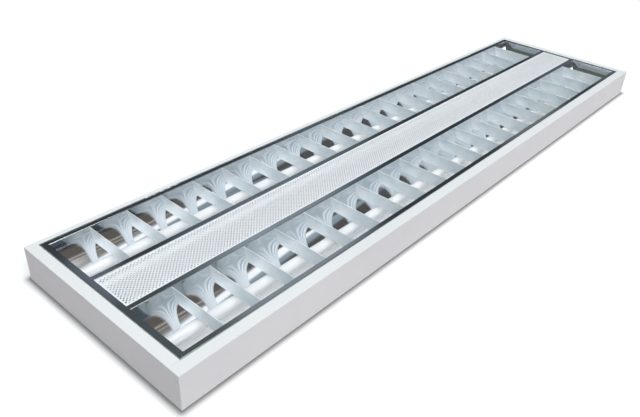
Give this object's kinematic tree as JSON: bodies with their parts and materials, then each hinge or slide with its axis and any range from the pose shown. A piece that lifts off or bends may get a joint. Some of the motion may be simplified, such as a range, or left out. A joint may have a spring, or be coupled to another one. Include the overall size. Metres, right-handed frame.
{
  "type": "recessed troffer light",
  "caption": "Slim recessed ceiling light: white sheet-steel tray with a hinged mirror louvre over slim tube lamps and a perforated centre panel.",
  "frame": {"origin": "middle of the housing's flat back face, on the surface the light lies on", "axes": "+X along the lamps, +Y towards the louvre's hinge side, +Z out of the back through the louvre; in a ceiling +Z points down"},
  "size_m": [1.195, 0.295, 0.0485],
  "materials": {
    "housing_paint": "semi-matt white powder coat",
    "panel_paint": "semi-matt white powder coat, perforated",
    "white_sheet": "white pre-coated steel",
    "mirror_aluminium": "bright anodised mirror sheet",
    "satin_aluminium": "semi-specular ribbed sheet",
    "cap_aluminium": "satin",
    "lamp_glass": "white phosphor coating inside clear glass",
    "brass": "bright",
    "zinc": "bright zinc plate",
    "zinc_sheet": "galvanised sheet",
    "spring_steel": "spring-tempered strip",
    "white_plastic": "moulded white",
    "grey_plastic": "moulded grey",
    "board": "circuit board with parts",
    "black_rubber": "moulded",
    "lead_insulation": "white insulated wire"
  },
  "bodies": {
    "housing": {"ballast_base": "zinc_sheet", "ballast_board": "board", "ballast_lid": "white_sheet", "ballast_screws": "zinc", "ballast_terminals": "grey_plastic", "blank_plug": "white_plastic", "cable_bush": "black_rubber", "catch_brackets": "zinc_sheet", "catch_pins": "zinc", "catch_studs": "zinc", "earth_nut": "brass", "earth_stud": "brass", "end_plate_left": "housing_paint", "end_plate_right": "housing_paint", "end_plate_rivets": "zinc", "gear_cover": "white_sheet", "gear_cover_screws": "zinc", "hinge_leaves_fixed": "zinc_sheet", "hinge_wires": "zinc", "housing_tray": "housing_paint", "lamp_leads_left": "lead_insulation", "lamp_leads_right": "lead_insulation", "lampholder_screws": "zinc", "lampholders_left": "white_plastic", "lampholders_right": "white_plastic", "mains_lead": "lead_insulation", "terminal_block": "white_plastic", "terminal_screws": "zinc"},
    "louvre": {"reflector_near_outer": "mirror_aluminium", "reflector_near_inner": "mirror_aluminium", "reflector_far_inner": "mirror_aluminium", "reflector_far_outer": "mirror_aluminium", "frame_end_left": "mirror_aluminium", "frame_end_right": "mirror_aluminium", "end_reflectors_left": "mirror_aluminium", "end_reflectors_right": "mirror_aluminium", "cross_blades_near": "satin_aluminium", "cross_blades_far": "satin_aluminium", "centre_panel": "panel_paint", "corner_keys": "zinc_sheet", "key_rivets": "zinc", "hinge_leaves_moving": "zinc_sheet", "striker_tabs": "zinc_sheet"},
    "lamp_near": {"lamp_glass_near": "lamp_glass", "lamp_caps_near": "cap_aluminium", "lamp_pins_near": "brass", "holder_rotors_near": "white_plastic"},
    "lamp_far": {"lamp_glass_far": "lamp_glass", "lamp_caps_far": "cap_aluminium", "lamp_pins_far": "brass", "holder_rotors_far": "white_plastic"},
    "catch_left": {"catch_left": "spring_steel"},
    "catch_right": {"catch_right": "spring_steel"}
  },
  "joints": [
    {"name": "louvre_hinge", "type": "hinge", "parent": "housing", "child": "louvre", "pos_m": [0, 0.1391, 0.0474], "axis": [-1, 0, 0], "range_deg": [0, 90]},
    {"name": "near_lamp_twist", "type": "hinge", "parent": "housing", "child": "lamp_near", "pos_m": [0, -0.07925, 0.0185], "axis": [1, 0, 0], "range_deg": [0, 90]},
    {"name": "far_lamp_twist", "type": "hinge", "parent": "housing", "child": "lamp_far", "pos_m": [0, 0.08725, 0.0185], "axis": [1, 0, 0], "range_deg": [0, 90]},
    {"name": "left_catch_flex", "type": "hinge", "parent": "housing", "child": "catch_left", "pos_m": [-0.3, -0.144, 0.009], "axis": [1, 0, 0], "range_deg": [0, 4.5], "stiffness_Nm_per_rad": 0.3},
    {"name": "right_catch_flex", "type": "hinge", "parent": "housing", "child": "catch_right", "pos_m": [0.3, -0.144, 0.009], "axis": [1, 0, 0], "range_deg": [0, 4.5], "stiffness_Nm_per_rad": 0.3}
  ]
}
